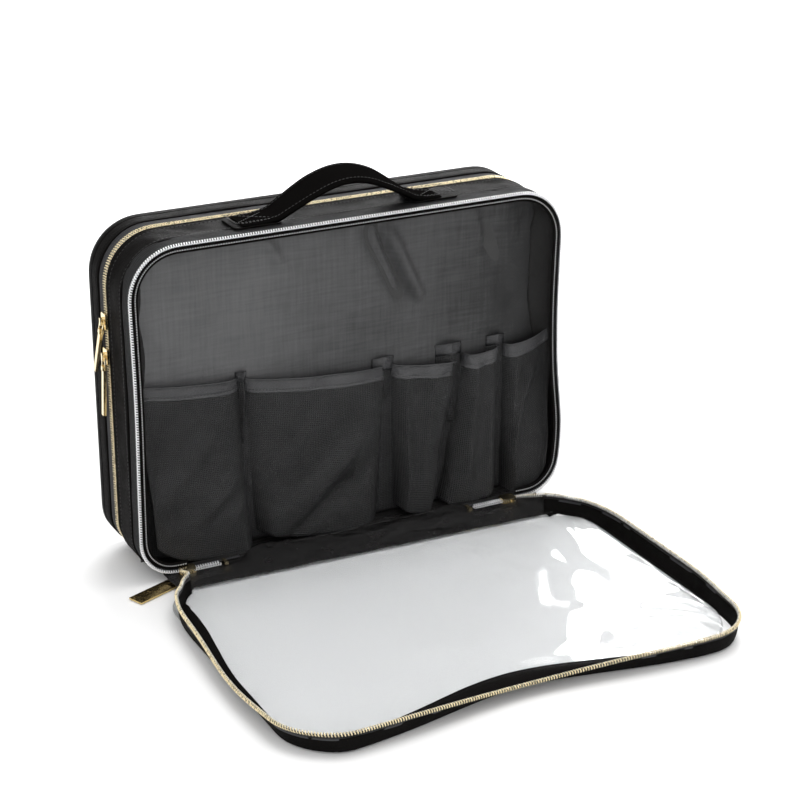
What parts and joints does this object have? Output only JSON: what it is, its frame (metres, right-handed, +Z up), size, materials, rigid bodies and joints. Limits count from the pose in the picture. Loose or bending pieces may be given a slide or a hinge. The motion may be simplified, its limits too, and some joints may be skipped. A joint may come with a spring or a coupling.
{
  "type": "makeup train case",
  "caption": "Soft black zip case with clear drop-down front lid, mesh pocket divider, padded rear lid, arched strap handle and gold pulls.",
  "frame": {"origin": "middle of the base at the surface the case stands on, under the divider", "axes": "+X to the case's right, +Y to its back, +Z up; the clear front lid lies open towards -Y"},
  "size_m": [0.3965, 0.384, 0.3169],
  "materials": {
    "black_nylon": "black coated nylon, fine plain weave, soft sheen",
    "strap_webbing": "black woven strap",
    "zip_tape": "black ribbed zipper tape",
    "lining": "charcoal coated nylon, crosshatch weave",
    "mesh": "fine black mesh",
    "hem_band": "shiny black binding",
    "board": "thin stiffener",
    "foam": "soft foam sheet",
    "clear_vinyl": "clear soft vinyl",
    "silver_coil": "bright silver coil",
    "gold_coil": "pale gold coil",
    "gold_metal": "polished pale gold plating"
  },
  "bodies": {
    "case": {"core_gusset": "black_nylon", "base_board": "board", "front_lining": "lining", "rear_lining": "lining", "divider_board": "board", "divider_front_face": "lining", "divider_rear_face": "lining", "front_zip_tape": "zip_tape", "rear_zip_tape": "zip_tape", "front_zip_coil": "silver_coil", "rear_zip_coil": "gold_coil", "front_zip_end_rows": "silver_coil", "rear_zip_end_rows": "gold_coil", "front_zip_stops": "gold_metal", "rear_zip_stops": "gold_metal", "front_hinge_strip": "black_nylon", "rear_hinge_strip": "black_nylon", "handle_patches": "strap_webbing", "pocket_1_mesh": "mesh", "pocket_2_mesh": "mesh", "pocket_3_mesh": "mesh", "pocket_4_mesh": "mesh", "pocket_5_mesh": "mesh", "pocket_1_hem": "hem_band", "pocket_2_hem": "hem_band", "pocket_3_hem": "hem_band", "pocket_4_hem": "hem_band", "pocket_5_hem": "hem_band"},
    "front_lid": {"window": "clear_vinyl", "window_binding": "black_nylon", "front_lid_gusset": "black_nylon", "front_lid_tape": "zip_tape", "front_lid_coil": "gold_coil"},
    "rear_lid": {"rear_panel": "black_nylon", "rear_piping": "black_nylon", "rear_foam": "foam", "rear_lid_lining": "lining", "rear_lid_gusset": "black_nylon", "rear_lid_tape": "zip_tape", "rear_lid_coil": "gold_coil"},
    "handle": {"handle_strap": "strap_webbing"},
    "front_slider_left": {"front_slider_left": "gold_metal"},
    "front_slider_right": {"front_slider_right": "gold_metal"},
    "rear_slider_upper": {"rear_slider_upper": "gold_metal"},
    "rear_slider_lower": {"rear_slider_lower": "gold_metal"},
    "front_pull_left": {"front_pull_left": "gold_metal"},
    "front_pull_right": {"front_pull_right": "gold_metal"},
    "rear_ring_upper": {"rear_ring_upper": "gold_metal"},
    "rear_ring_lower": {"rear_ring_lower": "gold_metal"},
    "rear_bar_upper": {"rear_bar_upper": "gold_metal"},
    "rear_bar_lower": {"rear_bar_lower": "gold_metal"}
  },
  "joints": [
    {"name": "front_lid_hinge", "type": "hinge", "parent": "case", "child": "front_lid", "pos_m": [0, -0.048, 0.001], "axis": [-1, 0, 0], "range_deg": [0, 90]},
    {"name": "rear_lid_hinge", "type": "hinge", "parent": "case", "child": "rear_lid", "pos_m": [0, 0.06, 0.001], "axis": [-1, 0, 0], "range_deg": [0, 90]},
    {"name": "handle_lean", "type": "hinge", "parent": "case", "child": "handle", "pos_m": [0, 0, 0.2805], "axis": [1, 0, 0], "range_deg": [-45, 45], "stiffness_Nm_per_rad": 0.03},
    {"name": "front_slider_left_travel", "type": "slide", "parent": "case", "child": "front_slider_left", "axis": [1, 0, 0], "range_m": [0, 0.024]},
    {"name": "front_slider_right_travel", "type": "slide", "parent": "case", "child": "front_slider_right", "axis": [-1, 0, 0], "range_m": [0, 0.028]},
    {"name": "rear_slider_upper_travel", "type": "slide", "parent": "case", "child": "rear_slider_upper", "axis": [0, 0, 1], "range_m": [0, 0.02]},
    {"name": "rear_slider_lower_travel", "type": "slide", "parent": "case", "child": "rear_slider_lower", "axis": [0, 0, -1], "range_m": [0, 0.115]},
    {"name": "front_pull_left_swing", "type": "hinge", "parent": "front_slider_left", "child": "front_pull_left", "pos_m": [-0.152, -0.027, 0.0024], "axis": [0.3746, -0.9272, 0], "range_deg": [0, 150]},
    {"name": "front_pull_right_swing", "type": "hinge", "parent": "front_slider_right", "child": "front_pull_right", "pos_m": [0.14, -0.027, 0.0024], "axis": [0, -1, 0], "range_deg": [0, 150]},
    {"name": "rear_ring_upper_swing", "type": "hinge", "parent": "rear_slider_upper", "child": "rear_ring_upper", "pos_m": [-0.1926, 0.027, 0.205], "axis": [0, 0.9135, 0.4067], "range_deg": [0, 120]},
    {"name": "rear_bar_upper_swing", "type": "hinge", "parent": "rear_ring_upper", "child": "rear_bar_upper", "pos_m": [-0.1926, 0.03107, 0.19587], "axis": [0, 0.9135, 0.4067], "range_deg": [0, 55]},
    {"name": "rear_ring_lower_swing", "type": "hinge", "parent": "rear_slider_lower", "child": "rear_ring_lower", "pos_m": [-0.1926, 0.027, 0.176], "axis": [0, 0.9903, 0.1392], "range_deg": [0, 120]},
    {"name": "rear_bar_lower_swing", "type": "hinge", "parent": "rear_ring_lower", "child": "rear_bar_lower", "pos_m": [-0.1926, 0.02839, 0.1661], "axis": [0, 0.9903, 0.1392], "range_deg": [0, 55]}
  ]
}
